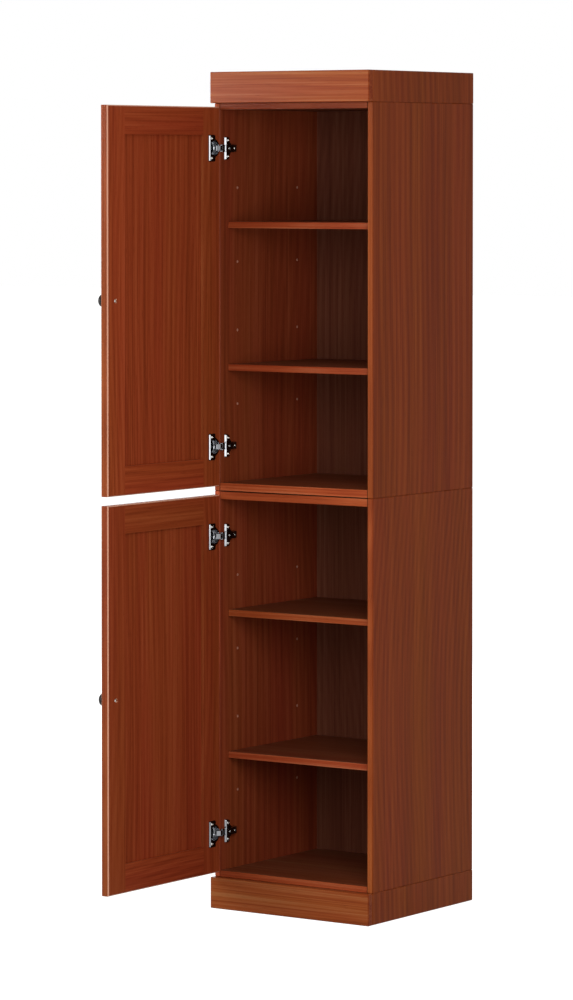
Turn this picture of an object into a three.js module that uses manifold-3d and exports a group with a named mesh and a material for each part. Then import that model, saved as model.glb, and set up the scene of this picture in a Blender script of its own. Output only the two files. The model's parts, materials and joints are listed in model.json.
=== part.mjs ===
// Two-unit pantry cabinet with a base box, a cap box and two left-hung shaker doors.
// Millimetres, Z up. X runs along the front, Y goes back into the cabinet.
// The origin is the middle of the base front board's underside. The doors stand open at a right angle.

import * as THREE from "three";
import { mergeVertices } from "three/addons/utils/BufferGeometryUtils.js";
import Module from "manifold-3d";

const wasm = await Module();
wasm.setup();

// Overall sizes
const cabinetWidth = 417;
const carcassDepth = 397;
const boxHeight = 68; // base box and cap box
const unitHeight = 846.5;

// Boards
const frontBoard = 17; // front boards of the base and cap boxes
const sideBoard = 15;
const endBoard = 14; // bottom of the lower unit, top of the upper unit, top of the cap
const middleBoard = 17; // the two boards that meet between the units
const seamInset = 1; // the two middle boards stop this far inside the side panels' ends
const easing = 0.5; // broken edge along the top and bottom of every board
const cornerEasing = 1; // upright edges of the side panels and of the box fronts
const jointEasing = 0.2; // upright edges that meet another board
const seamEasing = 1.25; // wider broken edge where two boxes meet

// Back panel, held in grooves
const backPanel = 5;
const backInset = 373.5; // from the carcass front to the panel's face
const grooveDepth = 6;
const tongue = 5;
const grooveSlack = 0.4;

// Shelves
const shelfThick = 14.5;
const shelfSetback = 29;
const shelfLength = 385;
const shelfDepth = 343;
const shelfOffset = 156; // shelf middle above and below the middle of the inside height
const holeStep = 81; // spare pin holes above and below each shelf
const holeRadius = 2.5;
const holeLength = 10;
const holeRows = [65.5, 295]; // from the carcass front
const notchLength = 11; // pin groove under a shelf end
const notchHalfWidth = 2.9;

// Doors
const doorWidth = 403;
const doorHeight = 827.5;
const doorThick = 19;
const doorLift = 11; // door bottom above the unit's bottom
const doorFace = 17.5; // inner face from the cabinet's left side, door open
const doorGap = 5; // hinge edge in front of the carcass, door open
const stileWidth = 60;
const railWidth = 62;
const doorPanel = 6;
const panelRecess = 7; // panel face below the inner face
const panelTongue = 9.7;
const panelGroove = 10.3;
const doorEasing = 2.25;

// Hinges, measured from the cabinet's left side (x) and the carcass front (y)
const hingeOffset = 325.25; // above and below the unit's middle
const cupSetback = 21.5; // cup centre from the door's hinge edge
const cupRadius = 17.25;
const cupDepth = 12;
const cupWall = 1.6;
const rimRadius = 19.5;
const flangeThick = 1.5;
const flangeLine = 9.5; // flange screws beyond the cup centre
const flangeHalfHeight = 29;
const flangeScrew = 21.5; // flange screws above and below the cup centre
const lipHeight = 4; // turned-up far edge of the flange
const lipWidth = 3.2;
const edgeLean = 0.45; // sloping metal edges run back this much for each unit of height
const linkPivot = [23.3, -3];
const linkHalfHeight = 5.2;
const linkHalfThick = 1.6;
const armHalfHeight = 7.5;
const armBottom = 20;
const armTop = 26;
const armRear = 50;
const plateThick = 4.7;
const plateSlope = 4.1; // height of the plate's sloping edge

// Knobs
const knobSetback = 28; // from the door's free edge
const knobLength = 22;
const knobRadius = 13.5;
const knobHole = 2.25;
const screwRecess = 5;
const screwRecessDepth = 4;

// Derived positions
const halfWidth = cabinetWidth / 2;
const carcassFront = frontBoard / 2;
const carcassBack = carcassFront + carcassDepth;
const innerHalf = halfWidth - sideBoard;
const lowerBottom = boxHeight;
const upperBottom = lowerBottom + unitHeight;
const capBottom = upperBottom + unitHeight;
const doorInnerX = doorFace - halfWidth;
const doorHingeY = carcassFront - doorGap;
const doorFreeY = doorHingeY - doorWidth;

const cherryFront = { color: 0x9c4c2b, roughness: 0.42, metalness: 0 };
const cherrySide = { color: 0x74381f, roughness: 0.45, metalness: 0 };
const cherryDoor = { color: 0x7d331a, roughness: 0.42, metalness: 0 };
const hardboard = { color: 0x5a2616, roughness: 0.6, metalness: 0 };
const nickel = { color: 0xb9bcc0, roughness: 0.16, metalness: 1 };
const blackKnob = { color: 0x121010, roughness: 0.35, metalness: 0.6 };
const steel = { color: 0xc7c3bc, roughness: 0.28, metalness: 1 };

const cabinet = new THREE.Group();

// Solid geometry

function solidOf(geometry) {
  const bare = new THREE.BufferGeometry();
  const source = geometry.index ? geometry.toNonIndexed() : geometry;
  bare.setAttribute("position", source.getAttribute("position"));
  const merged = mergeVertices(bare, 1e-4);
  return new wasm.Manifold(
    new wasm.Mesh({
      numProp: 3,
      vertProperties: merged.attributes.position.array,
      triVerts: new Uint32Array(merged.index.array),
    }),
  );
}

function geometryOf(solid) {
  const mesh = solid.getMesh();
  const geometry = new THREE.BufferGeometry();
  geometry.setAttribute("position", new THREE.BufferAttribute(mesh.vertProperties, 3));
  geometry.setIndex(new THREE.BufferAttribute(mesh.triVerts, 1));
  geometry.computeVertexNormals();
  return geometry;
}

// A box between two corners. With ease its level edges are broken by that much, its upright edges by corner.
function board(low, high, ease = 0, corner = jointEasing) {
  const size = high.map((value, axis) => value - low[axis]);
  const middle = high.map((value, axis) => (value + low[axis]) / 2);
  if (ease === 0) {
    return new THREE.BoxGeometry(...size).translate(...middle);
  }
  const half = [size[0] / 2 - ease, size[1] / 2 - ease];
  const outline = new THREE.Shape();
  outline.moveTo(-half[0] + corner, -half[1]);
  outline.lineTo(half[0] - corner, -half[1]);
  outline.lineTo(half[0], -half[1] + corner);
  outline.lineTo(half[0], half[1] - corner);
  outline.lineTo(half[0] - corner, half[1]);
  outline.lineTo(-half[0] + corner, half[1]);
  outline.lineTo(-half[0], half[1] - corner);
  outline.lineTo(-half[0], -half[1] + corner);
  outline.closePath();
  const geometry = new THREE.ExtrudeGeometry(outline, {
    depth: size[2] - 2 * ease,
    bevelEnabled: true,
    bevelThickness: ease,
    bevelSize: ease,
    bevelSegments: 1,
  });
  return geometry.translate(middle[0], middle[1], low[2] + ease);
}

function cut(blank, tools) {
  return tools.reduce((solid, tool) => solid.subtract(solidOf(tool)), solidOf(blank));
}

function add(name, geometry, finish) {
  const mesh = new THREE.Mesh(geometry, new THREE.MeshStandardMaterial(finish));
  mesh.name = name;
  cabinet.add(mesh);
}

// A cylinder along X from one x to another.
function rodAlongX(fromX, toX, y, z, radius, segments) {
  const rod = new THREE.CylinderGeometry(radius, radius, Math.abs(toX - fromX), segments);
  rod.rotateZ(Math.PI / 2);
  return rod.translate((fromX + toX) / 2, y, z);
}

// A flat outline in the (y, z) plane, thickened along +X from x.
function plateAlongX(outline, x, thickness) {
  const plate = new THREE.ExtrudeGeometry(outline, {
    depth: thickness,
    bevelEnabled: false,
    curveSegments: 6,
  });
  plate.rotateZ(Math.PI / 2);
  plate.rotateY(Math.PI / 2);
  return plate.translate(x, 0, 0);
}

// Base and cap boxes

function boxUnit(name, bottom, topBoard) {
  const top = bottom + boxHeight;
  const back = carcassBack - sideBoard;
  const frontLow = [-halfWidth, -carcassFront, bottom];
  const frontHigh = [halfWidth, carcassFront, top];
  add(`${name}_front`, board(frontLow, frontHigh, seamEasing, cornerEasing), cherryFront);
  for (const [side, low, high] of [
    ["left", -halfWidth, -innerHalf],
    ["right", innerHalf, halfWidth],
  ]) {
    const panel = board([low, carcassFront, bottom], [high, carcassBack, top], seamEasing);
    add(`${name}_${side}_side`, panel, cherrySide);
  }
  const rear = board([-innerHalf, back, bottom], [innerHalf, carcassBack, top], easing);
  add(`${name}_back`, rear, cherrySide);
  if (topBoard) {
    const lid = board([-innerHalf, carcassFront, top - endBoard], [innerHalf, back, top], easing);
    add(`${name}_top`, lid, cherrySide);
  }
}

// Storage units

function pinHoles(wallX, inward, insideMiddle) {
  const holes = [];
  for (const row of holeRows) {
    for (const shelf of [-shelfOffset, shelfOffset]) {
      for (const step of [-holeStep, 0, holeStep]) {
        const y = carcassFront + row;
        const z = insideMiddle + shelf + step;
        const mouth = wallX + inward;
        holes.push(rodAlongX(mouth, wallX - inward * holeLength, y, z, holeRadius, 12));
      }
    }
  }
  return holes;
}

function backGroove(low, high) {
  const front = carcassFront + backInset - grooveSlack / 2;
  const rear = carcassFront + backInset + backPanel + grooveSlack / 2;
  return board([low[0], front, low[1]], [high[0], rear, high[1]]);
}

function sidePanel(name, side, bottom, insideMiddle) {
  const outward = side === "left" ? -1 : 1;
  const outer = outward * halfWidth;
  const inner = outward * innerHalf;
  const low = [Math.min(outer, inner), carcassFront, bottom];
  const high = [Math.max(outer, inner), carcassBack, bottom + unitHeight];
  const reach = inner + outward * grooveDepth;
  const grooveLow = [Math.min(inner - outward, reach), bottom - 1];
  const grooveHigh = [Math.max(inner - outward, reach), bottom + unitHeight + 1];
  const tools = pinHoles(inner, -outward, insideMiddle);
  tools.push(backGroove(grooveLow, grooveHigh));
  const blank = board(low, high, seamEasing, cornerEasing);
  add(`${name}_${side}_side`, geometryOf(cut(blank, tools)), cherrySide);
}

function levelBoard(name, bottom, top, grooveUp) {
  const blank = board([-innerHalf, carcassFront, bottom], [innerHalf, carcassBack, top], easing);
  const low = grooveUp ? top - grooveDepth : bottom - 1;
  const high = grooveUp ? top + 1 : bottom + grooveDepth;
  const groove = backGroove([-innerHalf - 1, low], [innerHalf + 1, high]);
  add(name, geometryOf(cut(blank, [groove])), cherryFront);
}

function shelf(name, middle) {
  const half = shelfLength / 2;
  const front = carcassFront + shelfSetback;
  const bottom = middle - shelfThick / 2;
  const blank = board([-half, front, bottom], [half, front + shelfDepth, bottom + shelfThick], easing);
  const notches = [];
  for (const row of holeRows) {
    for (const end of [-1, 1]) {
      const y = carcassFront + row;
      const inner = end * (half - notchLength);
      const outer = end * (half + 1);
      const low = [Math.min(inner, outer), y - notchHalfWidth, bottom - 1];
      const high = [Math.max(inner, outer), y + notchHalfWidth, middle];
      notches.push(board(low, high));
      notches.push(rodAlongX(inner, outer, y, middle, notchHalfWidth, 12));
    }
  }
  add(name, geometryOf(cut(blank, notches)), cherryFront);
}

function storageUnit(name, floorBottom, floorThick, ceilingTop, ceilingThick) {
  const bottom = name === "lower" ? lowerBottom : upperBottom;
  const floorTop = floorBottom + floorThick;
  const ceiling = ceilingTop - ceilingThick;
  const insideMiddle = (floorTop + ceiling) / 2;
  sidePanel(name, "left", bottom, insideMiddle);
  sidePanel(name, "right", bottom, insideMiddle);
  levelBoard(`${name}_bottom`, floorBottom, floorTop, true);
  levelBoard(`${name}_top`, ceiling, ceilingTop, false);
  const panel = board(
    [-innerHalf - tongue, carcassFront + backInset, floorTop - tongue],
    [innerHalf + tongue, carcassFront + backInset + backPanel, ceiling + tongue],
  );
  add(`${name}_back`, panel, hardboard);
  shelf(`${name}_shelf_high`, insideMiddle + shelfOffset);
  shelf(`${name}_shelf_low`, insideMiddle - shelfOffset);
}

// Doors, modelled open: width runs along -Y from the hinge edge, the inner face looks to +X

function doorSlab(bottom) {
  const half = [doorThick / 2, doorWidth / 2];
  const outline = new THREE.Shape();
  outline.moveTo(-half[1] + doorEasing, -doorHeight / 2 + doorEasing);
  outline.lineTo(half[1] - doorEasing, -doorHeight / 2 + doorEasing);
  outline.lineTo(half[1] - doorEasing, doorHeight / 2 - doorEasing);
  outline.lineTo(-half[1] + doorEasing, doorHeight / 2 - doorEasing);
  outline.closePath();
  const slab = new THREE.ExtrudeGeometry(outline, {
    depth: doorThick - 2 * doorEasing,
    bevelEnabled: true,
    bevelThickness: doorEasing,
    bevelSize: doorEasing,
    bevelSegments: 1,
  });
  slab.rotateZ(Math.PI / 2);
  slab.rotateY(Math.PI / 2);
  const x = doorInnerX - doorThick + doorEasing;
  return slab.translate(x, doorHingeY - half[1], bottom + doorHeight / 2);
}

function doorFrame(name, bottom, hingeHeights) {
  const slab = solidOf(doorSlab(bottom));
  const outerX = doorInnerX - doorThick;
  const top = bottom + doorHeight;
  const inHinge = doorHingeY - stileWidth;
  const inLatch = doorFreeY + stileWidth;
  const grooveHigh = doorInnerX - panelRecess + grooveSlack / 2;
  const grooveLow = doorInnerX - panelRecess - doorPanel - grooveSlack / 2;
  const region = (y0, z0, y1, z1) => solidOf(board([outerX - 1, y0, z0], [doorInnerX + 1, y1, z1]));
  const groove = (y0, z0, y1, z1) => board([grooveLow, y0, z0], [grooveHigh, y1, z1]);

  const hingeBlank = slab.intersect(region(inHinge, bottom - 1, doorHingeY + 1, top + 1));
  const hingeTools = [groove(inHinge - 1, bottom - 1, inHinge + panelGroove, top + 1)];
  for (const z of hingeHeights) {
    const y = doorHingeY - cupSetback;
    const floor = doorInnerX - cupDepth - 0.3;
    hingeTools.push(rodAlongX(floor, doorInnerX + 1, y, z, cupRadius + 0.25, 24));
  }
  add(`${name}_hinge_stile`, geometryOf(cutSolid(hingeBlank, hingeTools)), cherryDoor);

  const latchBlank = slab.intersect(region(doorFreeY - 1, bottom - 1, inLatch, top + 1));
  const knobY = doorFreeY + knobSetback;
  const knobZ = bottom + doorHeight / 2;
  const latchTools = [
    groove(inLatch - panelGroove, bottom - 1, inLatch + 1, top + 1),
    rodAlongX(outerX - 1, doorInnerX + 1, knobY, knobZ, knobHole, 12),
    rodAlongX(doorInnerX - screwRecessDepth, doorInnerX + 1, knobY, knobZ, screwRecess, 20),
  ];
  add(`${name}_latch_stile`, geometryOf(cutSolid(latchBlank, latchTools)), cherryDoor);

  rail(`${name}_bottom_rail`, slab, bottom - 1, bottom + railWidth, true);
  rail(`${name}_top_rail`, slab, top - railWidth, top + 1, false);

  const panel = board(
    [doorInnerX - panelRecess - doorPanel, inLatch - panelTongue, bottom + railWidth - panelTongue],
    [doorInnerX - panelRecess, inHinge + panelTongue, top - railWidth + panelTongue],
  );
  add(`${name}_panel`, panel, cherryDoor);
}

function cutSolid(solid, tools) {
  return tools.reduce((rest, tool) => rest.subtract(solidOf(tool)), solid);
}

// A rail runs between the stiles and carries a stub tenon that fills the stile groove at each end.
function rail(name, slab, low, high, panelAbove) {
  const inHinge = doorHingeY - stileWidth;
  const inLatch = doorFreeY + stileWidth;
  const x0 = doorInnerX - doorThick - 1;
  const x1 = doorInnerX + 1;
  const tenonLow = doorInnerX - panelRecess - doorPanel;
  const tenonHigh = doorInnerX - panelRecess;
  const body = slab.intersect(solidOf(board([x0, inLatch, low], [x1, inHinge, high])));
  const tenonBox = board([tenonLow, inLatch - panelTongue, low], [tenonHigh, inHinge + panelTongue, high]);
  const tenon = slab.intersect(solidOf(tenonBox));
  const grooveStart = panelAbove ? high - panelGroove : low - 1;
  const grooveEnd = panelAbove ? high + 1 : low + panelGroove;
  const groove = board(
    [tenonLow - grooveSlack / 2, inLatch - panelGroove - 1, grooveStart],
    [tenonHigh + grooveSlack / 2, inHinge + panelGroove + 1, grooveEnd],
  );
  add(name, geometryOf(cutSolid(body.add(tenon), [groove])), cherryDoor);
}

// Knob on the outer face, with its screw through the latch stile

function knob(name, bottom) {
  const profile = [
    [0, 0],
    [8.5, 0],
    [8.5, 1.6],
    [5.6, 4.2],
    [5.4, 8.5],
    [8, 11],
    [12.2, 12.6],
    [knobRadius, 15],
    [13, 17.6],
    [10.5, 20],
    [6, 21.6],
    [0, knobLength],
  ];
  const points = profile.map(([radius, height]) => new THREE.Vector2(radius, height));
  const body = new THREE.LatheGeometry(points, 28);
  body.rotateZ(Math.PI / 2);
  const outerX = doorInnerX - doorThick;
  const y = doorFreeY + knobSetback;
  const z = bottom + doorHeight / 2;
  body.translate(outerX, y, z);
  const socket = rodAlongX(outerX - 9, outerX + 1, y, z, knobHole, 12);
  add(`${name}_knob`, geometryOf(cut(body, [socket])), blackKnob);
  knobScrew(`${name}_knob_screw`, outerX, y, z);
}

function knobScrew(name, outerX, y, z) {
  const headBase = doorInnerX - screwRecessDepth;
  const shank = headBase - outerX + 7;
  const profile = [
    [0, -shank],
    [2, -shank],
    [2, 0],
    [4.2, 0],
    [4.2, 0.9],
    [3.2, 2],
    [1.6, 2.5],
    [0, 2.6],
  ];
  const points = profile.map(([radius, height]) => new THREE.Vector2(radius, height));
  const body = new THREE.LatheGeometry(points, 16);
  body.rotateZ(-Math.PI / 2);
  body.translate(headBase, y, z);
  const slotDepth = [headBase + 1.2, headBase + 3];
  const slots = [
    board([slotDepth[0], y - 2, z - 0.45], [slotDepth[1], y + 2, z + 0.45]),
    board([slotDepth[0], y - 0.45, z - 2], [slotDepth[1], y + 0.45, z + 2]),
  ];
  add(name, geometryOf(cut(body, slots)), steel);
}

// Concealed hinges

const fromSide = (x) => x - halfWidth;
const fromFront = (y) => y + carcassFront;

// The cup is sunk in the hinge stile and its flange lies on the door's inner face.
function hingeCup(name, z) {
  const y = doorHingeY - cupSetback;
  const inner = cupRadius - cupWall;
  const profile = [
    [0, -cupDepth],
    [cupRadius - 1.5, -cupDepth],
    [cupRadius, -cupDepth + 1.5],
    [cupRadius, 0],
    [rimRadius, 0.05],
    [rimRadius, flangeThick],
    [inner, flangeThick],
    [inner, -cupDepth + 6],
    [inner - 0.7, -cupDepth + 3.6],
    [inner - 2.4, -cupDepth + 1.8],
    [inner - 4.8, -cupDepth + 1.1],
    [0, -cupDepth + 1],
  ];
  const points = profile.map(([radius, height]) => new THREE.Vector2(radius, height));
  const bowl = new THREE.LatheGeometry(points, 28);
  bowl.rotateZ(-Math.PI / 2);
  bowl.translate(doorInnerX, y, z);

  const line = y - flangeLine;
  const far = line - 10.5;
  const near = far + 24;
  const neck = y + 15;
  const outline = new THREE.Shape();
  outline.moveTo(far, z - flangeHalfHeight + 2);
  outline.quadraticCurveTo(far, z - flangeHalfHeight, far + 2, z - flangeHalfHeight);
  outline.lineTo(near - 4, z - flangeHalfHeight);
  outline.quadraticCurveTo(near, z - flangeHalfHeight, near, z - flangeHalfHeight + 4);
  outline.lineTo(near, z - 21);
  outline.lineTo(neck, z - 10);
  outline.lineTo(neck, z + 10);
  outline.lineTo(near, z + 21);
  outline.lineTo(near, z + flangeHalfHeight - 4);
  outline.quadraticCurveTo(near, z + flangeHalfHeight, near - 4, z + flangeHalfHeight);
  outline.lineTo(far + 2, z + flangeHalfHeight);
  outline.quadraticCurveTo(far, z + flangeHalfHeight, far, z + flangeHalfHeight - 2);
  outline.closePath();
  for (const side of [-1, 1]) {
    const hole = new THREE.Path();
    hole.absarc(line, z + side * flangeScrew, 2.2, 0, 2 * Math.PI, false);
    outline.holes.push(hole);
  }
  const flange = solidOf(plateAlongX(outline, doorInnerX + 0.05, flangeThick - 0.05));
  const mouth = solidOf(rodAlongX(doorInnerX - 1, doorInnerX + 3, y, z, inner, 28));
  const lip = solidOf(flangeEdge(far, z));
  add(`${name}_cup`, geometryOf(solidOf(bowl).add(flange.subtract(mouth)).add(lip)), nickel);
}

// The turned-up edge of the flange, furthest from the door's hinge edge.
function flangeEdge(far, z) {
  const base = doorInnerX + 0.05;
  const top = doorInnerX + lipHeight;
  const reach = flangeHalfHeight - 2;
  const outline = new THREE.Shape();
  outline.moveTo(base, far);
  outline.lineTo(top, far + lipHeight * edgeLean);
  outline.lineTo(top, far + lipWidth);
  outline.lineTo(base, far + lipWidth);
  outline.closePath();
  const edge = new THREE.ExtrudeGeometry(outline, { depth: 2 * reach, bevelEnabled: false });
  return edge.translate(0, 0, z - reach);
}

// The arm is fixed on its plate. Two ears at its front carry the link's pin.
function hingeArm(name, z) {
  const outline = new THREE.Shape();
  outline.moveTo(21, -7);
  outline.lineTo(24.2, -7);
  outline.quadraticCurveTo(25.4, -7, 25.4, -5);
  outline.lineTo(25.4, 2.5);
  outline.lineTo(21.6, 6.4);
  outline.lineTo(armTop - 0.5, 6.4 + (armTop - 22.1) * edgeLean);
  outline.lineTo(armTop, 8.9);
  outline.lineTo(armTop, 34);
  outline.lineTo(23.5, armRear);
  outline.lineTo(armBottom, armRear);
  outline.lineTo(armBottom, 4);
  outline.lineTo(21, 3);
  outline.closePath();
  const arm = new THREE.ExtrudeGeometry(outline, {
    depth: 2 * armHalfHeight,
    bevelEnabled: false,
    curveSegments: 4,
  });
  arm.translate(fromSide(0), fromFront(0), z - armHalfHeight);
  const pocketHalf = linkHalfHeight + 0.3;
  const pocket = board(
    [fromSide(19), fromFront(-8), z - pocketHalf],
    [fromSide(27), fromFront(3.5), z + pocketHalf],
  );
  const slot = rodAlongX(fromSide(23.5), fromSide(27), fromFront(20), z, 3, 16);
  const well = rodAlongX(fromSide(21.5), fromSide(27), fromFront(41), z, 3.2, 16);
  add(`${name}_arm`, geometryOf(cut(arm, [pocket, slot, well])), nickel);
}

// The link folds into the cup as the door closes.
function hingeLink(name, z) {
  const spine = [
    [0, 0],
    [2, -7],
    [2.2, -11.5],
    [-2.6, -17.4],
  ];
  let solid = null;
  spine.forEach(([x, y], index) => {
    const radius = index === 0 ? 2.3 : linkHalfThick;
    const joint = new THREE.CylinderGeometry(radius, radius, 2 * linkHalfHeight, 16);
    joint.rotateX(Math.PI / 2);
    joint.translate(x, y, 0);
    const knuckle = solidOf(joint);
    solid = solid ? solid.add(knuckle) : knuckle;
    if (index > 0) {
      const [px, py] = spine[index - 1];
      const length = Math.hypot(x - px, y - py);
      const bar = new THREE.BoxGeometry(length, 2 * linkHalfThick, 2 * linkHalfHeight);
      bar.rotateZ(Math.atan2(y - py, x - px));
      bar.translate((x + px) / 2, (y + py) / 2, 0);
      solid = solid.add(solidOf(bar));
    }
  });
  const geometry = geometryOf(solid);
  geometry.translate(fromSide(linkPivot[0]), fromFront(linkPivot[1]), z);
  add(`${name}_link`, geometry, nickel);
}

// Wing plate on the inside of the left side panel, with sloping edges.
function hingePlate(name, z) {
  const wing = 25.5;
  const shoulder = 16.5;
  const waist = 8.5;
  const front = fromFront(15.8);
  const wingRear = fromFront(30.5);
  const waistFront = fromFront(38);
  const rear = fromFront(54);
  const outline = new THREE.Shape();
  outline.moveTo(front, z - wing + 3);
  outline.quadraticCurveTo(front, z - wing, front + 3, z - wing);
  outline.lineTo(wingRear - 5, z - wing);
  outline.quadraticCurveTo(wingRear, z - wing, wingRear, z - wing + 5);
  outline.lineTo(wingRear, z - shoulder);
  outline.lineTo(waistFront, z - waist);
  outline.lineTo(rear - 4, z - waist);
  outline.quadraticCurveTo(rear, z - waist, rear, z - waist + 4);
  outline.lineTo(rear, z + waist - 4);
  outline.quadraticCurveTo(rear, z + waist, rear - 4, z + waist);
  outline.lineTo(waistFront, z + waist);
  outline.lineTo(wingRear, z + shoulder);
  outline.lineTo(wingRear, z + wing - 5);
  outline.quadraticCurveTo(wingRear, z + wing, wingRear - 5, z + wing);
  outline.lineTo(front + 3, z + wing);
  outline.quadraticCurveTo(front, z + wing, front, z + wing - 3);
  outline.closePath();
  const buried = 1;
  const plate = new THREE.ExtrudeGeometry(outline, {
    depth: buried,
    bevelEnabled: true,
    bevelThickness: plateSlope,
    bevelSize: plateSlope * edgeLean,
    bevelOffset: -plateSlope * edgeLean,
    bevelSegments: 1,
    curveSegments: 6,
  });
  plate.rotateZ(Math.PI / 2);
  plate.rotateY(Math.PI / 2);
  plate.translate(plateThick - innerHalf - plateSlope - buried, 0, 0);
  const wall = board([-innerHalf - 10, front - 1, z - wing - 1], [-innerHalf, rear + 1, z + wing + 1]);
  add(`${name}_plate`, geometryOf(cut(plate, [wall])), nickel);
}

function door(name, unitBottom) {
  const bottom = unitBottom + doorLift;
  const unitMiddle = unitBottom + unitHeight / 2;
  const low = unitMiddle - hingeOffset;
  const high = unitMiddle + hingeOffset;
  doorFrame(`${name}_door`, bottom, [low, high]);
  knob(`${name}_door`, bottom);
  for (const [place, z] of [
    ["low", low],
    ["high", high],
  ]) {
    hingeCup(`${name}_hinge_${place}`, z);
    hingeLink(`${name}_hinge_${place}`, z);
    hingeArm(`${name}_hinge_${place}`, z);
    hingePlate(`${name}_hinge_${place}`, z);
  }
}

boxUnit("base", 0, false);
storageUnit("lower", lowerBottom, endBoard, upperBottom - seamInset, middleBoard);
storageUnit("upper", upperBottom + seamInset, middleBoard, capBottom, endBoard);
boxUnit("cap", capBottom, true);
door("lower", lowerBottom);
door("upper", upperBottom);

export default cabinet;
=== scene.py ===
import json
import math

import bmesh
import bpy
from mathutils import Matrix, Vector


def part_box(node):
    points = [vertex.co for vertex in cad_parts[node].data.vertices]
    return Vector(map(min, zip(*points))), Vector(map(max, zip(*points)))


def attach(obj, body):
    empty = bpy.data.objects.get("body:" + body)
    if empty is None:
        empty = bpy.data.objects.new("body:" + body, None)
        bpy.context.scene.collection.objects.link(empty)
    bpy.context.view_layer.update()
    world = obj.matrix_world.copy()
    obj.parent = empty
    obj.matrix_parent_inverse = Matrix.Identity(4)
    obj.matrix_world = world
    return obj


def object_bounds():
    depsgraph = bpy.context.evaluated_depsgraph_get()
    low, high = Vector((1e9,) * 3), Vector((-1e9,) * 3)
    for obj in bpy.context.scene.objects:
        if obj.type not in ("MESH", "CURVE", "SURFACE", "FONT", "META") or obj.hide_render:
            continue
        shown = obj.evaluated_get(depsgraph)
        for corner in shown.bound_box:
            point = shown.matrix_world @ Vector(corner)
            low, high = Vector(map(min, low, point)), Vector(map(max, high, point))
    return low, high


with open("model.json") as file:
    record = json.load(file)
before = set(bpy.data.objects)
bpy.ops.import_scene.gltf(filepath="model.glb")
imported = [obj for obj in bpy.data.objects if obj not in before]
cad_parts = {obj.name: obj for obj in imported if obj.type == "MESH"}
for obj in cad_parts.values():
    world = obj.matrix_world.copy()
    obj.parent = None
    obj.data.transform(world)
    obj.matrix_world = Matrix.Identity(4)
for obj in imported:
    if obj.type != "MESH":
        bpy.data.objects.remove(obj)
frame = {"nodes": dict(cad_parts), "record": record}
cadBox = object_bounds()
scene = bpy.context.scene
mm = 0.001
units = ("lower", "upper")
hinges = [(unit, f"{unit}_hinge_{place}") for unit in units for place in ("low", "high")]


def wire(tree, source, target):
    tree.links.new(source, target)


def newNode(tree, kind, place=(0, 0), **settings):
    node = tree.nodes.new(kind)
    node.location = place
    for name, value in settings.items():
        setattr(node, name, value)
    return node


def feed(tree, socket, value):
    if hasattr(value, "is_output"):
        wire(tree, value, socket)
    else:
        socket.default_value = value


def mathNode(tree, operation, first, second=None, clamp=False):
    node = newNode(tree, "ShaderNodeMath", operation=operation, use_clamp=clamp)
    feed(tree, node.inputs[0], first)
    if second is not None:
        feed(tree, node.inputs[1], second)
    return node.outputs[0]


# Spreads a value that runs from start to end over the range from low to high
def remap(tree, value, start, end, low=0.0, high=1.0, kind="LINEAR"):
    node = newNode(tree, "ShaderNodeMapRange", interpolation_type=kind)
    given = {"Value": value, "From Min": start, "From Max": end, "To Min": low, "To Max": high}
    for name, number in given.items():
        feed(tree, node.inputs[name], number)
    return node.outputs[0]


def newGroup(name, takes, gives):
    tree = bpy.data.node_groups.new(name, "ShaderNodeTree")
    for label, kind, value in takes:
        socket = tree.interface.new_socket(label, in_out="INPUT", socket_type=kind)
        if value is not None:
            socket.default_value = value
    for label, kind in gives:
        tree.interface.new_socket(label, in_out="OUTPUT", socket_type=kind)
    return tree, newNode(tree, "NodeGroupInput"), newNode(tree, "NodeGroupOutput")


def placeGroup(tree, group, **values):
    node = newNode(tree, "ShaderNodeGroup", node_tree=group)
    for name, value in values.items():
        node.inputs[name].default_value = value
    return node


def newMaterial(name):
    material = bpy.data.materials.new(name)
    material.use_nodes = True
    tree = material.node_tree
    return material, tree, tree.nodes["Principled BSDF"]


# The layers of the wood's figure: repeats per metre across and along the grain, and each layer's own seed
figure = {
    "wander": {"across": 0.9, "along": 0.6, "seed": 3.1, "detail": 1.0},
    "rise": {"across": 1.2, "along": 0.9, "seed": 8.7, "detail": 1.0},
    "wobble": {"across": 22.0, "along": 1.6, "seed": 5.3},
    "broad": {"across": 15.0, "along": 0.3, "seed": 1.7, "rough": 0.6},
    "medium": {"across": 75.0, "along": 0.8, "seed": 4.4, "rough": 0.55},
    "fine": {"across": 260.0, "along": 2.2, "seed": 2.9, "rough": 0.6},
    "hair": {"across": 900.0, "along": 7.0, "seed": 7.7, "detail": 1.0},
    "patch": {"across": 5.0, "along": 0.8, "seed": 11.3, "detail": 1.0},
    "warmth": {"across": 13.0, "along": 0.7, "seed": 21.0, "rough": 0.55},
    "pores": {"across": 1100.0, "along": 42.0, "seed": 14.1, "detail": 1.0, "rough": 0.4},
}
# Growth rings: rings in a metre, how far the pith line wanders and rises behind the face, and how far the
# rings wobble
rings = {"perMetre": 330.0, "wander": 0.5, "rise": 0.2, "wobble": 5.0}
hairShare = 0.5
poreStart, poreEnd = 0.63, 0.74


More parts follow.
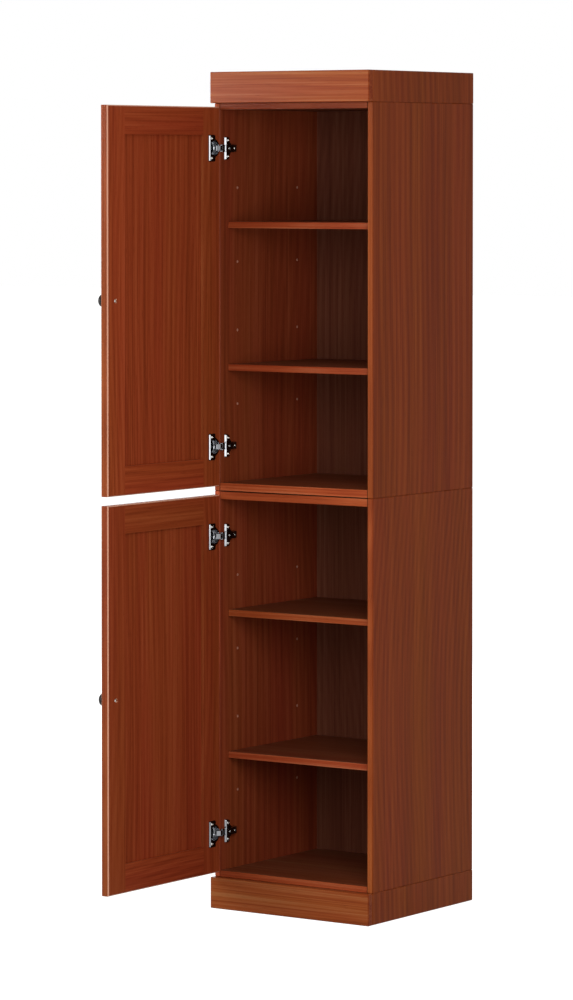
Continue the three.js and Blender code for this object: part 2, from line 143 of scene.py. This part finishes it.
# Cherry grain: coordinates come in as (across the grain, along it, through the board), in metres
def buildGrainGroup():
    amounts = ("Flame", "Broad", "Medium", "Fine")
    tree, takes, gives = newGroup(
        "cherryGrain",
        [("Coordinates", "NodeSocketVector", None), ("Board", "NodeSocketFloat", 0.0),
         *[(amount, "NodeSocketFloat", 0.5) for amount in amounts]],
        [(result, "NodeSocketFloat") for result in ("Tone", "Warmth", "Pores", "Height")])

    def layer(name):
        look = figure[name]
        mapping = newNode(tree, "ShaderNodeMapping")
        mapping.inputs["Scale"].default_value = (look["across"], look["along"], look["across"])
        wire(tree, takes.outputs["Coordinates"], mapping.inputs["Vector"])
        texture = newNode(tree, "ShaderNodeTexNoise", noise_dimensions="4D")
        wire(tree, mapping.outputs["Vector"], texture.inputs["Vector"])
        wire(tree, mathNode(tree, "ADD", takes.outputs["Board"], look["seed"]), texture.inputs["W"])
        texture.inputs["Scale"].default_value = 1.0
        texture.inputs["Detail"].default_value = look.get("detail", 2.0)
        texture.inputs["Roughness"].default_value = look.get("rough", 0.5)
        return texture.outputs["Fac"]

    def swing(name, middle=0.5):
        return mathNode(tree, "SUBTRACT", layer(name), middle)

    def times(first, second):
        return mathNode(tree, "MULTIPLY", first, second)

    split = newNode(tree, "ShaderNodeSeparateXYZ")
    wire(tree, takes.outputs["Coordinates"], split.inputs[0])

    # the distance to a pith line that wanders behind the face gives long flames
    sideways = mathNode(tree, "ADD", split.outputs["X"], times(swing("wander"), rings["wander"]))
    rise = times(swing("rise", 0.35), rings["rise"])
    squared = mathNode(tree, "ADD", times(sideways, sideways), times(rise, rise))
    ring = times(mathNode(tree, "SQRT", squared), rings["perMetre"])
    wobble = times(layer("wobble"), rings["wobble"])
    flame = mathNode(tree, "SINE", mathNode(tree, "ADD", ring, wobble))

    fine = swing("fine")
    hair = swing("hair")
    tone = times(swing("broad"), takes.outputs["Broad"])
    tone = mathNode(tree, "ADD", tone, times(swing("medium"), takes.outputs["Medium"]))
    tone = mathNode(tree, "ADD", tone, times(fine, takes.outputs["Fine"]))
    tone = mathNode(tree, "ADD", tone, times(times(flame, takes.outputs["Flame"]), layer("patch")))
    tone = mathNode(tree, "ADD", tone, times(hair, hairShare))
    wire(tree, mathNode(tree, "ADD", tone, 0.5, clamp=True), gives.inputs["Tone"])
    wire(tree, layer("warmth"), gives.inputs["Warmth"])
    pores = remap(tree, layer("pores"), poreStart, poreEnd, kind="SMOOTHSTEP")
    wire(tree, pores, gives.inputs["Pores"])

    height = mathNode(tree, "SUBTRACT", times(fine, 0.6), times(pores, 0.5))
    wire(tree, mathNode(tree, "ADD", height, times(hair, 0.4)), gives.inputs["Height"])
    return tree


# Fine scatter for metal and paint: smudges on gloss and a little orange peel
def buildPatinaGroup():
    tree, takes, gives = newGroup(
        "handledSurface",
        [("Coordinates", "NodeSocketVector", None), ("Low", "NodeSocketFloat", 0.1),
         ("High", "NodeSocketFloat", 0.3)],
        [(result, "NodeSocketFloat") for result in ("Roughness", "Height", "Shade")])

    def speckle(scale, detail):
        texture = newNode(tree, "ShaderNodeTexNoise")
        texture.inputs["Scale"].default_value = scale
        texture.inputs["Detail"].default_value = detail
        wire(tree, takes.outputs["Coordinates"], texture.inputs["Vector"])
        return texture.outputs["Fac"]

    smudges = remap(tree, speckle(180.0, 3.0), 0.3, 0.7, takes.outputs["Low"], takes.outputs["High"])
    wire(tree, smudges, gives.inputs["Roughness"])
    wire(tree, speckle(1400.0, 1.0), gives.inputs["Height"])
    wire(tree, speckle(60.0, 2.0), gives.inputs["Shade"])
    return tree


# Edge is 1 on faces that lean between two of the board's own directions, Front is 1 on faces that look
# forward, and Upright is 1 on faces that stand
def buildEdgeGroup():
    tree, takes, gives = newGroup(
        "easedEdge", [("Normal", "NodeSocketVector", None)],
        [(result, "NodeSocketFloat") for result in ("Edge", "Front", "Upright")])
    split = newNode(tree, "ShaderNodeSeparateXYZ")
    wire(tree, takes.outputs["Normal"], split.inputs[0])
    lean = 0.0
    for one, other in (("X", "Y"), ("Y", "Z"), ("X", "Z")):
        both = mathNode(tree, "MULTIPLY", split.outputs[one], split.outputs[other])
        lean = mathNode(tree, "MAXIMUM", mathNode(tree, "ABSOLUTE", both), lean)
    wire(tree, remap(tree, lean, 0.1, 0.4, kind="SMOOTHSTEP"), gives.inputs["Edge"])
    wire(tree, mathNode(tree, "LESS_THAN", split.outputs["Y"], -0.8), gives.inputs["Front"])
    level = mathNode(tree, "ABSOLUTE", split.outputs["Z"])
    wire(tree, mathNode(tree, "LESS_THAN", level, 0.5), gives.inputs["Upright"])
    return tree


grainGroup = buildGrainGroup()
edgeGroup = buildEdgeGroup()
patinaGroup = buildPatinaGroup()
print("node groups built")


# Cherry finishes. Colours are linear: dark, middle and light follow the grain's tone, and the banding tint
# lightens the faces that look forward, partly as edge banding and partly as painted sheen and light. Flame,
# broad, medium and fine are the shares of the figure's layers, the edge share is how much painted highlight
# lightens the eased edges, and seam paints shade along the level edges.
cherry = {
    "front": {
        "dark": (0.189, 0.026, 0.0047), "middle": (0.264, 0.0442, 0.0084),
        "light": (0.326, 0.0845, 0.0226), "bandingAndSheen": (1.28, 1.66, 2),
        "flame": 0.16, "broad": 0.82, "medium": 0.5, "fine": 1.49,
        "edgeHighlight": 0.0, "seam": True, "roughness": 0.3,
    },
    "side": {
        "dark": (0.158, 0.0265, 0.00492), "middle": (0.221, 0.0396, 0.00722),
        "light": (0.272, 0.0576, 0.0117), "bandingAndSheen": (1.42, 1.8, 2.2),
        "flame": 0.26, "broad": 0.88, "medium": 0.6, "fine": 1.35,
        "edgeHighlight": 0.0, "seam": True, "roughness": 0.42,
    },
    "door": {
        "dark": (0.212, 0.0307, 0.0086), "middle": (0.292, 0.0466, 0.013),
        "light": (0.357, 0.0689, 0.0211), "bandingAndSheen": (1.02, 1.32, 1.4),
        "flame": 0.18, "broad": 0.82, "medium": 0.6, "fine": 1.35,
        "edgeHighlight": 0.75, "seam": False, "roughness": 0.42,
    },
    "inside": {
        "dark": (0.17, 0.0272, 0.0092), "middle": (0.238, 0.0399, 0.0133),
        "light": (0.293, 0.0595, 0.022), "bandingAndSheen": (2.3, 2.7, 2.9),
        "flame": 0.18, "broad": 0.82, "medium": 0.5, "fine": 1.22,
        "edgeHighlight": 0.0, "seam": False, "roughness": 0.48,
    },
    "back": {
        "dark": (0.102, 0.0278, 0.0133), "middle": (0.149, 0.043, 0.021),
        "light": (0.192, 0.0646, 0.0343), "bandingAndSheen": (1, 1, 1),
        "flame": 0.15, "broad": 0.68, "medium": 0.55, "fine": 1.22,
        "edgeHighlight": 0.0, "seam": False, "roughness": 0.6,
    },
    # Darker than the front finish: painted shade on the level tops, with the forward faces brightened back by
    # the banding tint
    "shelf": {
        "dark": (0.123, 0.0241, 0.0083), "middle": (0.171, 0.0409, 0.0146),
        "light": (0.211, 0.0782, 0.0392), "bandingAndSheen": (2.04, 1.62, 1.3),
        "flame": 0.16, "broad": 0.82, "medium": 0.5, "fine": 1.49,
        "edgeHighlight": 0.0, "seam": False, "roughness": 0.4,
    },
}
# Painted shade along the level edges where boards meet
seamShade = {"width": 1.5, "tint": (0.34, 0.16, 0.10)}
# Pale tint mixed onto the door's eased edges: a painted highlight
edgeHighlightTint = (0.78, 0.40, 0.26)
pore = {"depth": 0.45, "tint": (0.35, 0.28, 0.25)}
hueRange = (0.496, 0.504)
toneStops = {"dark": 0.15, "middle": 0.5, "light": 0.88}
# How much lighter or darker one board is than the others of its finish: partly the board's own tone, partly
# painted light and shade, such as the darker top board under the cap's overhang
boardToneAndShade = {
    "base_front": 0.88, "cap_front": 1.02, "upper_top": 0.72, "upper_bottom": 1.22, "lower_top": 1.15,
    "upper_door_latch_stile": 1.07, "upper_door_bottom_rail": 1.12, "upper_door_top_rail": 1.04,
    "lower_door_latch_stile": 0.9, "lower_door_panel": 0.9, "lower_door_hinge_stile": 0.94,
    "lower_door_top_rail": 0.92, "lower_door_bottom_rail": 0.95,
}


def tinted(tree, kind, factor, colour, tint):
    node = newNode(tree, "ShaderNodeMix", data_type="RGBA", blend_type=kind)
    wire(tree, factor, node.inputs["Factor"])
    wire(tree, colour, node.inputs["A"])
    node.inputs["B"].default_value = (*tint, 1)
    return node.outputs["Result"]


# 1 close to the board's lower and upper edge, fading out over the width of the painted seam shade
def seamShadeMask(tree, level, ends):
    middle, half = (ends[0] + ends[1]) / 2, (ends[1] - ends[0]) / 2
    fromMiddle = mathNode(tree, "ABSOLUTE", mathNode(tree, "SUBTRACT", level, middle))
    width = seamShade["width"] * mm
    return remap(tree, fromMiddle, half - width, half - width * 0.4, kind="SMOOTHSTEP")


def addBump(tree, shader, height, strength, distance):
    bump = newNode(tree, "ShaderNodeBump")
    bump.inputs["Strength"].default_value = strength
    bump.inputs["Distance"].default_value = distance
    wire(tree, height, bump.inputs["Height"])
    wire(tree, bump.outputs["Normal"], shader.inputs["Normal"])


# grain is the axis the grain runs along, face the axis through the board, and ends the heights of its level
# edges
def cherryMaterial(name, finish, grain, face, seed, shade, ends):
    look = cherry[finish]
    material, tree, shader = newMaterial(name)
    place = newNode(tree, "ShaderNodeTexCoord")
    split = newNode(tree, "ShaderNodeSeparateXYZ")
    join = newNode(tree, "ShaderNodeCombineXYZ")
    wire(tree, place.outputs["Object"], split.inputs[0])
    across = next(axis for axis in "XYZ" if axis not in (grain, face))
    for target, axis in zip(join.inputs, (across, grain, face)):
        wire(tree, split.outputs[axis], target)
    cut = placeGroup(tree, grainGroup, Board=seed, Flame=look["flame"], Broad=look["broad"],
                     Medium=look["medium"], Fine=look["fine"])
    wire(tree, join.outputs[0], cut.inputs["Coordinates"])
    edge = placeGroup(tree, edgeGroup)
    wire(tree, place.outputs["Normal"], edge.inputs["Normal"])

    ramp = newNode(tree, "ShaderNodeValToRGB")
    stops = ramp.color_ramp.elements
    stops.new(toneStops["middle"])
    for stop, (tone, position) in zip(stops, toneStops.items()):
        stop.position = position
        stop.color = (*[value * shade for value in look[tone]], 1)
    wire(tree, cut.outputs["Tone"], ramp.inputs["Fac"])
    warm = newNode(tree, "ShaderNodeHueSaturation")
    wire(tree, remap(tree, cut.outputs["Warmth"], 0.3, 0.7, *hueRange), warm.inputs["Hue"])
    wire(tree, ramp.outputs["Color"], warm.inputs["Color"])

    pores = mathNode(tree, "MULTIPLY", cut.outputs["Pores"], pore["depth"])
    colour = tinted(tree, "MULTIPLY", pores, warm.outputs["Color"], pore["tint"])
    # Painted highlight: the eased edges mixed toward a pale tint
    if look["edgeHighlight"]:
        patinaAndHighlight = mathNode(tree, "MULTIPLY", edge.outputs["Edge"], look["edgeHighlight"])
        colour = tinted(tree, "MIX", patinaAndHighlight, colour, edgeHighlightTint)
    # Painted shade along the level edges, on the standing faces
    if look["seam"]:
        shadeBand = seamShadeMask(tree, split.outputs["Z"], ends)
        shadeOnUprights = mathNode(tree, "MULTIPLY", shadeBand, edge.outputs["Upright"])
        colour = tinted(tree, "MULTIPLY", shadeOnUprights, colour, seamShade["tint"])
    # Forward faces tinted lighter and paler: partly edge banding, partly painted sheen and light
    colour = tinted(tree, "MULTIPLY", edge.outputs["Front"], colour, look["bandingAndSheen"])
    wire(tree, colour, shader.inputs["Base Color"])

    roughness = look["roughness"]
    gloss = remap(tree, cut.outputs["Warmth"], 0.0, 1.0, roughness - 0.05, roughness + 0.08)
    smoother = mathNode(tree, "MULTIPLY", edge.outputs["Edge"], 0.15)
    wire(tree, mathNode(tree, "SUBTRACT", gloss, smoother), shader.inputs["Roughness"])
    shader.inputs["Specular IOR Level"].default_value = 0.05
    addBump(tree, shader, cut.outputs["Height"], 0.25, 0.0002)
    return material


# Metals and the knobs' paint, with the smoothest and the roughest the surface gets
metals = {
    "brightNickel": {"colour": (0.26, 0.265, 0.28), "metallic": 1.0, "low": 0.07, "high": 0.16, "bump": 0.02},
    "screwSteel": {"colour": (0.80, 0.78, 0.74), "metallic": 1.0, "low": 0.15, "high": 0.3, "bump": 0.05},
    "pinSteel": {"colour": (0.55, 0.54, 0.52), "metallic": 1.0, "low": 0.2, "high": 0.35, "bump": 0.05},
    "sleeveBrass": {"colour": (0.50, 0.22, 0.14), "metallic": 0.2, "low": 0.45, "high": 0.6, "bump": 0.05},
    "blackBronze": {"colour": (0.012, 0.01, 0.009), "metallic": 0.35, "low": 0.28, "high": 0.42, "bump": 0.12},
}


def metalMaterial(name):
    look = metals[name]
    material, tree, shader = newMaterial(name)
    place = newNode(tree, "ShaderNodeTexCoord")
    patinaAndHighlight = placeGroup(tree, patinaGroup, Low=look["low"], High=look["high"])
    wire(tree, place.outputs["Object"], patinaAndHighlight.inputs["Coordinates"])
    wire(tree, patinaAndHighlight.outputs["Roughness"], shader.inputs["Roughness"])
    tint = newNode(tree, "ShaderNodeMix", data_type="RGBA")
    tint.inputs["A"].default_value = (*[value * 0.8 for value in look["colour"]], 1)
    tint.inputs["B"].default_value = (*look["colour"], 1)
    wire(tree, patinaAndHighlight.outputs["Shade"], tint.inputs["Factor"])
    wire(tree, tint.outputs["Result"], shader.inputs["Base Color"])
    shader.inputs["Metallic"].default_value = look["metallic"]
    addBump(tree, shader, patinaAndHighlight.outputs["Height"], look["bump"], 0.0001)
    return material


def dress(node, material):
    piece = frame["nodes"][node]
    piece.data.materials.clear()
    piece.data.materials.append(material)


# A board's node, its finish, the axis its grain runs along and the axis through it
boards = []
for box in ("base", "cap"):
    boards.append((f"{box}_front", "front", "X", "Y"))
    boards.append((f"{box}_left_side", "side", "Z", "X"))
    boards.append((f"{box}_right_side", "side", "Z", "X"))
    boards.append((f"{box}_back", "side", "X", "Y"))
boards.append(("cap_top", "side", "X", "Z"))
for unit in units:
    boards.append((f"{unit}_left_side", "inside", "Z", "X"))
    boards.append((f"{unit}_right_side", "side", "Z", "X"))
    boards.append((f"{unit}_top", "shelf", "X", "Z"))
    boards.append((f"{unit}_bottom", "shelf", "X", "Z"))
    boards.append((f"{unit}_back", "back", "Z", "Y"))
    boards.append((f"{unit}_shelf_high", "shelf", "X", "Z"))
    boards.append((f"{unit}_shelf_low", "shelf", "X", "Z"))
    boards.append((f"{unit}_door_hinge_stile", "door", "Z", "X"))
    boards.append((f"{unit}_door_latch_stile", "door", "Z", "X"))
    boards.append((f"{unit}_door_top_rail", "door", "Y", "X"))
    boards.append((f"{unit}_door_bottom_rail", "door", "Y", "X"))
    boards.append((f"{unit}_door_panel", "door", "Z", "X"))
for number, (node, finish, grain, face) in enumerate(boards):
    shade = boardToneAndShade.get(node, 1.0)
    heights = [corner[2] for corner in bpy.data.objects[node].bound_box]
    ends = (min(heights), max(heights))
    dress(node, cherryMaterial(f"cherry_{node}", finish, grain, face, number * 3.7, shade, ends))
print("boards finished:", len(boards))

nickel = metalMaterial("brightNickel")
screwSteel = metalMaterial("screwSteel")
pinSteel = metalMaterial("pinSteel")
sleeveBrass = metalMaterial("sleeveBrass")
blackBronze = metalMaterial("blackBronze")
for unit, hinge in hinges:
    for part in ("cup", "arm", "plate", "link"):
        dress(f"{hinge}_{part}", nickel)
for unit in units:
    dress(f"{unit}_door_knob", blackBronze)
    dress(f"{unit}_door_knob_screw", screwSteel)


# Edges of the hinge metal, rounded by this much
metalEdge = {"cup": 0.35, "arm": 0.6, "plate": 0.5, "link": 0.5}


def roundEdges(node, radius):
    piece = frame["nodes"][node]
    flat = piece.modifiers.new("flatFaces", "DECIMATE")
    flat.decimate_type = "DISSOLVE"
    flat.angle_limit = math.radians(1)
    edge = piece.modifiers.new("roundedEdges", "BEVEL")
    edge.width, edge.segments = radius * mm, 2
    edge.limit_method, edge.angle_limit = "ANGLE", math.radians(35)


for unit, hinge in hinges:
    for part, radius in metalEdge.items():
        roundEdges(f"{hinge}_{part}", radius)


# A part turned round an axis along X, from (distance along the axis, radius) pairs in millimetres
def turnedPart(name, profile, place, towards=1, segments=32):
    mesh = bpy.data.meshes.new(name)
    build = bmesh.new()
    angles = [2 * math.pi * step / segments for step in range(segments)]
    rings = []
    for along, radius in profile:
        x, reach = along * mm * towards, radius * mm
        if radius == 0:
            rings.append([build.verts.new((x, 0, 0))])
        else:
            rings.append([build.verts.new((x, reach * math.cos(a), reach * math.sin(a))) for a in angles])
    for near, far in zip(rings, rings[1:]):
        for step in range(segments):
            after = (step + 1) % segments
            corners = [near[step % len(near)], near[after % len(near)]]
            corners += [far[after % len(far)], far[step % len(far)]]
            build.faces.new(list(dict.fromkeys(corners)))
    bmesh.ops.recalc_face_normals(build, faces=build.faces)
    for face in build.faces:
        face.smooth = True
    build.to_mesh(mesh)
    build.free()
    piece = bpy.data.objects.new(name, mesh)
    scene.collection.objects.link(piece)
    piece.location = place
    return piece


# The cross in a screw head: an arm's width as a share of its length, and the cutter's depth in millimetres
cross = {"armWidth": 0.28, "depth": 1.6}


# Cuts the cross into the head of a screw whose axis is X
def crossRecess(piece, face, size):
    cutter = bmesh.new()
    narrow = size * cross["armWidth"]
    for across, upright in ((size, narrow), (narrow, size)):
        for vert in bmesh.ops.create_cube(cutter, size=1.0)["verts"]:
            vert.co.x = (face + vert.co.x * cross["depth"]) * mm
            vert.co.y *= across * mm
            vert.co.z *= upright * mm
    mesh = bpy.data.meshes.new(f"{piece.name}Cross")
    cutter.to_mesh(mesh)
    cutter.free()
    tool = bpy.data.objects.new(mesh.name, mesh)
    tool.location = piece.location
    scene.collection.objects.link(tool)
    recess = piece.modifiers.new("cross", "BOOLEAN")
    recess.operation = "DIFFERENCE"
    recess.object = tool
    recess.solver = "EXACT"
    recess.use_self = True
    bpy.context.view_layer.update()
    shaped = bpy.data.meshes.new_from_object(piece.evaluated_get(bpy.context.evaluated_depsgraph_get()))
    piece.modifiers.clear()
    piece.data = shaped
    bpy.data.objects.remove(tool)


def fasten(piece, body, material):
    piece.data.materials.clear()
    piece.data.materials.append(material)
    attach(piece, body)


# Screw heads: the radius and height of the head, and the width of its cross, in millimetres
screws = {
    "flange": {"radius": 3.6, "height": 1.5, "cross": 3.6},
    "wing": {"radius": 3.7, "height": 1.2, "cross": 4.0},
    "slot": {"radius": 2.8, "height": 1.0, "cross": 3.4},
    "rear": {"radius": 3.0, "height": 2.6, "cross": 4.0},
}


def screw(kind, name, place, body):
    look = screws[kind]
    radius, height = look["radius"], look["height"]
    profile = [(-1.2, 0), (-1.2, radius * 0.5), (0, radius * 0.5), (0, radius), (height * 0.35, radius),
               (height * 0.75, radius * 0.75), (height, radius * 0.35), (height, 0)]
    head = turnedPart(name, profile, place)
    crossRecess(head, height, look["cross"])
    fasten(head, body, screwSteel)


# Where hinge screws sit, in millimetres from the hinge's middle height and from the arm's rear end
screwPlaces = {
    "flangeThick": 1.5, "flangeLine": 10.5, "flangeHeight": 21.5, "wingFromFront": 7.4, "wingHeight": 17.6,
    "slotFromRear": 30.0, "slotFloor": 2.5, "rearFromRear": 9.0, "rearFloor": 4.5,
}
rivetProfile = [(-8.1, 0), (-8.1, 1.0), (-7.7, 1.5), (7.7, 1.5), (8.1, 1.0), (8.1, 0)]
joints = {joint["name"]: joint["pos_m"] for joint in frame["record"]["behaviour"]["joints"]}


def cupAndPlateScrews(unit, hinge, middle):
    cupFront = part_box(f"{hinge}_cup")[0].y
    plateLow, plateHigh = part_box(f"{hinge}_plate")
    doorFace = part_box(f"{unit}_door_hinge_stile")[1].x
    for side, label in ((1, "high"), (-1, "low")):
        level = middle + side * screwPlaces["flangeHeight"] * mm
        place = (doorFace + screwPlaces["flangeThick"] * mm, cupFront + screwPlaces["flangeLine"] * mm, level)
        screw("flange", f"{hinge}_flangeScrew_{label}", place, f"{unit}_door")
        level = middle + side * screwPlaces["wingHeight"] * mm
        place = (plateHigh.x, plateLow.y + screwPlaces["wingFromFront"] * mm, level)
        screw("wing", f"{hinge}_wingScrew_{label}", place, "cabinet")


def armScrews(hinge, middle):
    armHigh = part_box(f"{hinge}_arm")[1]
    for kind in ("slot", "rear"):
        depth, reach = screwPlaces[f"{kind}Floor"] * mm, screwPlaces[f"{kind}FromRear"] * mm
        screw(kind, f"{hinge}_{kind}Screw", (armHigh.x - depth, armHigh.y - reach, middle), "cabinet")


def linkRivet(hinge, middle):
    fold = joints[f"{hinge.replace('_hinge', '')}_link_fold"]
    rivet = turnedPart(f"{hinge}_rivet", rivetProfile, (fold[0], fold[1], middle))
    rivet.rotation_euler.y = math.pi / 2
    fasten(rivet, "cabinet", screwSteel)


for unit, hinge in hinges:
    cupLow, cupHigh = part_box(f"{hinge}_cup")
    middle = (cupLow.z + cupHigh.z) / 2
    cupAndPlateScrews(unit, hinge, middle)
    armScrews(hinge, middle)
    linkRivet(hinge, middle)
print("hinge screws placed:", 6 * len(hinges))


# Shelf pins of turned steel, two to each shelf end, with rows counted from the carcass front
pin = {"radius": 2.35, "length": 17.5, "inWall": 9.0, "rows": (65.5, 295.0)}
# Flanged sleeves in the spare holes, one step above and one below each pin
sleeve = {"bore": 1.7, "body": 2.45, "flange": 3.1, "stand": 0.35, "depth": 7.0, "step": 81.0, "segments": 20}


def pinProfile():
    radius, length = pin["radius"], pin["length"]
    back = [(0, 0), (0, radius - 0.4), (0.4, radius)]
    return back + [(length - 0.6, radius), (length, radius - 0.6), (length, 0)]


def sleeveProfile():
    body, bore, flange = sleeve["body"], sleeve["bore"], sleeve["flange"]
    stand, depth = sleeve["stand"], sleeve["depth"]
    outside = [(-depth, 0), (-depth, body), (0, body), (0, flange), (stand * 0.6, flange)]
    inside = [(stand, flange - 0.4), (stand, bore + 0.2), (0, bore), (1 - depth, bore), (1 - depth, 0)]
    return outside + inside


# The pin and the two sleeves at one end of a shelf, in one row
def holeFittings(unit, label, face, row, level, towards):
    start = face - towards * pin["inWall"] * mm
    made = turnedPart(f"{unit}_pin_{label}", pinProfile(), (start, row, level), towards)
    fasten(made, "cabinet", pinSteel)
    for step, side in ((-1, "below"), (1, "above")):
        place = (face, row, level + step * sleeve["step"] * mm)
        name = f"{unit}_sleeve_{label}_{side}"
        made = turnedPart(name, sleeveProfile(), place, towards, sleeve["segments"])
        fasten(made, "cabinet", sleeveBrass)


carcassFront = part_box("upper_left_side")[0].y
for unit in units:
    for wall, towards in (("left", 1), ("right", -1)):
        wallLow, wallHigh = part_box(f"{unit}_{wall}_side")
        face = wallHigh.x if wall == "left" else wallLow.x
        for place in ("high", "low"):
            shelfLow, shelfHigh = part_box(f"{unit}_shelf_{place}")
            level = (shelfLow.z + shelfHigh.z) / 2
            for number, row in enumerate(pin["rows"]):
                label = f"{wall}_{place}_{number + 1}"
                holeFittings(unit, label, face, carcassFront + row * mm, level, towards)
print("shelf pins and sleeves placed")


# The floor, which reaches this many metres and lies this many millimetres under the feet, and the surroundings
studio = {
    "floorColour": (0.3, 0.3, 0.3), "floorGlow": 1.0, "floorReach": 40.0, "floorDrop": 0.3,
    "worldLight": 0.52, "glossSees": 0.5,
}
# Lamps: power in watts, sizes, distance and height in metres, turn in degrees from straight in front. The card
# and the glint are only mirrored, in the metal and in the varnish.
lamps = {
    "left": {"power": 48.0, "width": 3.0, "height": 3.0, "turn": -40.0, "distance": 4.5, "level": 2.4},
    "near": {"power": 17.0, "width": 1.5, "height": 2.0, "turn": -20.0, "distance": 3.0, "level": 1.2},
    "right": {"power": 33.0, "width": 1.2, "height": 1.8, "turn": 43.0, "distance": 2.7, "level": 1.4},
    "card": {"power": 60.0, "width": 2.2, "height": 2.6, "turn": 18.0, "distance": 4.5, "level": 1.7,
             "mirrored": True},
    "glint": {"power": 2.0, "width": 0.35, "height": 0.35, "turn": -45.0, "distance": 1.75, "level": 1.83,
              "aim": 1.8, "spread": 75.0, "mirrored": True},
    "rear": {"power": 90.0, "width": 4.0, "height": 3.5, "turn": 215.0, "distance": 4.5, "level": 2.0},
}


def softBox(name, middle):
    look = lamps[name]
    lamp = bpy.data.lights.new(f"{name}SoftBox", "AREA")
    lamp.shape = "RECTANGLE"
    lamp.energy = look["power"]
    lamp.size, lamp.size_y = look["width"], look["height"]
    lamp.spread = math.radians(look.get("spread", 180.0))
    holder = bpy.data.objects.new(lamp.name, lamp)
    scene.collection.objects.link(holder)
    turn = math.radians(look["turn"])
    side = Vector((math.sin(turn), -math.cos(turn), 0)) * look["distance"]
    holder.location = (middle.x + side.x, middle.y + side.y, look["level"])
    aim = Vector((middle.x, middle.y, look.get("aim", middle.z))) - holder.location
    holder.rotation_euler = aim.to_track_quat("-Z", "Y").to_euler()
    holder.visible_diffuse = not look.get("mirrored", False)


def boardMiddle(node):
    low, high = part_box(node)
    return (low + high) / 2


def within(tree, value, low, high):
    off = mathNode(tree, "ABSOLUTE", mathNode(tree, "SUBTRACT", value, (low + high) / 2))
    return mathNode(tree, "LESS_THAN", off, (high - low) / 2)


# 1 on the floor shut in by the base boards, which doesn't glow
def coveredFloor(tree):
    place = newNode(tree, "ShaderNodeTexCoord")
    split = newNode(tree, "ShaderNodeSeparateXYZ")
    wire(tree, place.outputs["Object"], split.inputs[0])
    left, right = boardMiddle("base_left_side").x, boardMiddle("base_right_side").x
    front, back = boardMiddle("base_front").y, boardMiddle("base_back").y
    return mathNode(tree, "MULTIPLY", within(tree, split.outputs["X"], left, right),
                    within(tree, split.outputs["Y"], front, back))


def buildFloor():
    mesh = bpy.data.meshes.new("floor")
    reach = studio["floorReach"]
    corners = [(x * reach, y * reach, 0) for x, y in ((-1, -1), (1, -1), (1, 1), (-1, 1))]
    mesh.from_pydata(corners, [], [(0, 1, 2, 3)])
    floor = bpy.data.objects.new("floor", mesh)
    scene.collection.objects.link(floor)
    floor.location.z = cadBox[0].z - studio["floorDrop"] * mm
    material, tree, shader = newMaterial("paleFloor")
    shader.inputs["Base Color"].default_value = (*studio["floorColour"], 1)
    shader.inputs["Roughness"].default_value = 0.9
    shader.inputs["Specular IOR Level"].default_value = 0.1
    path = newNode(tree, "ShaderNodeLightPath")
    seen = mathNode(tree, "MAXIMUM", path.outputs["Is Camera Ray"], path.outputs["Is Glossy Ray"])
    glowing = mathNode(tree, "MULTIPLY", seen, mathNode(tree, "SUBTRACT", 1.0, coveredFloor(tree)))
    glow = newNode(tree, "ShaderNodeEmission")
    wire(tree, mathNode(tree, "MULTIPLY", glowing, studio["floorGlow"]), glow.inputs["Strength"])
    both = newNode(tree, "ShaderNodeAddShader")
    wire(tree, shader.outputs[0], both.inputs[0])
    wire(tree, glow.outputs[0], both.inputs[1])
    wire(tree, both.outputs[0], tree.nodes["Material Output"].inputs["Surface"])
    mesh.materials.append(material)


# White to the camera, half as bright in reflections, and an even light on everything else
def buildWorld():
    world = bpy.data.worlds.new("studio")
    scene.world = world
    world.use_nodes = True
    tree = world.node_tree
    ambient = tree.nodes["Background"]
    ambient.inputs["Color"].default_value = (1, 1, 1, 1)
    ambient.inputs["Strength"].default_value = studio["worldLight"]
    white = newNode(tree, "ShaderNodeBackground")
    white.inputs["Color"].default_value = (1, 1, 1, 1)
    white.inputs["Strength"].default_value = 1.0
    path = newNode(tree, "ShaderNodeLightPath")
    gloss = mathNode(tree, "MULTIPLY", path.outputs["Is Glossy Ray"], studio["glossSees"])
    mix = newNode(tree, "ShaderNodeMixShader")
    wire(tree, mathNode(tree, "ADD", path.outputs["Is Camera Ray"], gloss), mix.inputs[0])
    wire(tree, ambient.outputs[0], mix.inputs[1])
    wire(tree, white.outputs[0], mix.inputs[2])
    wire(tree, mix.outputs[0], tree.nodes["World Output"].inputs["Surface"])
    scene.view_settings.view_transform = "Standard"


# Camera position and direction in metres, measured round the base front's foot
cameraSettings = {
    "place": (5.3837, -7.7259, 1.6136), "turn": 34.923, "tilt": 1.692, "lens": 157.302, "shift": -0.2,
}


def buildCamera():
    data = bpy.data.cameras.new("camera")
    data.sensor_width = 36.0
    data.lens = cameraSettings["lens"]
    data.shift_y = cameraSettings["shift"]
    data.clip_end = 200.0
    camera = bpy.data.objects.new("camera", data)
    scene.collection.objects.link(camera)
    camera.location = cameraSettings["place"]
    turn, tilt = math.radians(cameraSettings["turn"]), math.radians(cameraSettings["tilt"])
    ahead = Vector((-math.sin(turn) * math.cos(tilt), math.cos(turn) * math.cos(tilt), -math.sin(tilt)))
    camera.rotation_euler = ahead.to_track_quat("-Z", "Y").to_euler()
    scene.camera = camera


buildFloor()
buildWorld()
for name in lamps:
    softBox(name, (cadBox[0] + cadBox[1]) / 2)
buildCamera()
print("studio and camera placed")
